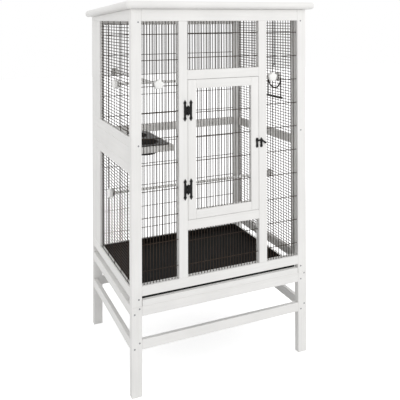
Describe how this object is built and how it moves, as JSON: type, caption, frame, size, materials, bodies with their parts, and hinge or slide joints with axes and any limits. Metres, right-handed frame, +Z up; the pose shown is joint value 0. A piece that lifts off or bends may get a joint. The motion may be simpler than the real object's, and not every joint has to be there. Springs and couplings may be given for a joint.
{
  "type": "aviary",
  "caption": "Indoor aviary on a legged stand, with wire grilles, a hinged door and latch, a pull-out tray, perches, a swing and a feeding shelf.",
  "frame": {"origin": "middle of the footprint of the whole aviary, roof included, on the floor", "axes": "+Z up, the front with the door towards -Y, +X to the right of someone who faces the door"},
  "size_m": [0.864, 0.668, 1.5319],
  "materials": {
    "painted_wood": "satin white paint",
    "grille_wire": "black powder coat",
    "black_iron": "black lacquer",
    "black_plastic": "moulded, satin",
    "white_plastic": "moulded, satin"
  },
  "bodies": {
    "cage": {"back_grille_lower": "grille_wire", "back_grille_upper": "grille_wire", "back_rail_middle": "painted_wood", "back_rail_top": "painted_wood", "feeding_board": "painted_wood", "feeding_bowls": "black_plastic", "front_grille_left": "grille_wire", "front_grille_lower": "grille_wire", "front_grille_right": "grille_wire", "front_grille_upper": "grille_wire", "front_mullion_left": "painted_wood", "front_mullion_right": "painted_wood", "front_rail_bottom": "painted_wood", "front_rail_over_door": "painted_wood", "front_rail_top": "painted_wood", "front_rail_under_door": "painted_wood", "hinge_lower_frame_leaf": "black_iron", "hinge_upper_frame_leaf": "black_iron", "latch_keeper": "black_iron", "left_grille_lower": "grille_wire", "left_grille_upper": "grille_wire", "left_rail_bottom": "painted_wood", "left_rail_over_panel": "painted_wood", "left_rail_top": "painted_wood", "left_rail_under_panel": "painted_wood", "perch_high": "white_plastic", "perch_low": "white_plastic", "perch_side": "white_plastic", "post_back_left": "painted_wood", "post_back_right": "painted_wood", "post_front_left": "painted_wood", "post_front_right": "painted_wood", "right_grille_lower": "grille_wire", "right_grille_upper": "grille_wire", "right_rail_bottom": "painted_wood", "right_rail_middle": "painted_wood", "right_rail_top": "painted_wood", "roof": "painted_wood", "stand_apron_back": "painted_wood", "stand_apron_front": "painted_wood", "stand_apron_left": "painted_wood", "stand_apron_right": "painted_wood", "stand_leg_back_left": "painted_wood", "stand_leg_back_right": "painted_wood", "stand_leg_front_left": "painted_wood", "stand_leg_front_right": "painted_wood", "stand_stretcher_back": "painted_wood", "stand_stretcher_front": "painted_wood", "stand_stretcher_left": "painted_wood", "stand_stretcher_right": "painted_wood", "swing_hanger": "black_iron"},
    "door": {"door_frame": "painted_wood", "door_grille": "grille_wire", "hinge_lower_door_leaf": "black_iron", "hinge_upper_door_leaf": "black_iron", "latch_plate": "black_iron"},
    "latch": {"latch_lever": "black_iron"},
    "drawer": {"drawer_front": "painted_wood", "tray": "black_plastic"},
    "swing": {"swing": "black_plastic"}
  },
  "joints": [
    {"name": "door_hinge", "type": "hinge", "parent": "cage", "child": "door", "pos_m": [-0.16325, -0.3079, 0.935], "axis": [0, 0, -1], "range_deg": [0, 165]},
    {"name": "latch_turn", "type": "hinge", "parent": "door", "child": "latch", "pos_m": [0.154, -0.3081, 0.946], "axis": [0, -1, 0], "range_deg": [0, 90]},
    {"name": "drawer_slide", "type": "slide", "parent": "cage", "child": "drawer", "axis": [0, -1, 0], "range_m": [0, 0.5]},
    {"name": "swing_turn", "type": "hinge", "parent": "cage", "child": "swing", "pos_m": [0.3, -0.205, 1.25], "axis": [0, 1, 0], "range_deg": [-30, 30]}
  ]
}
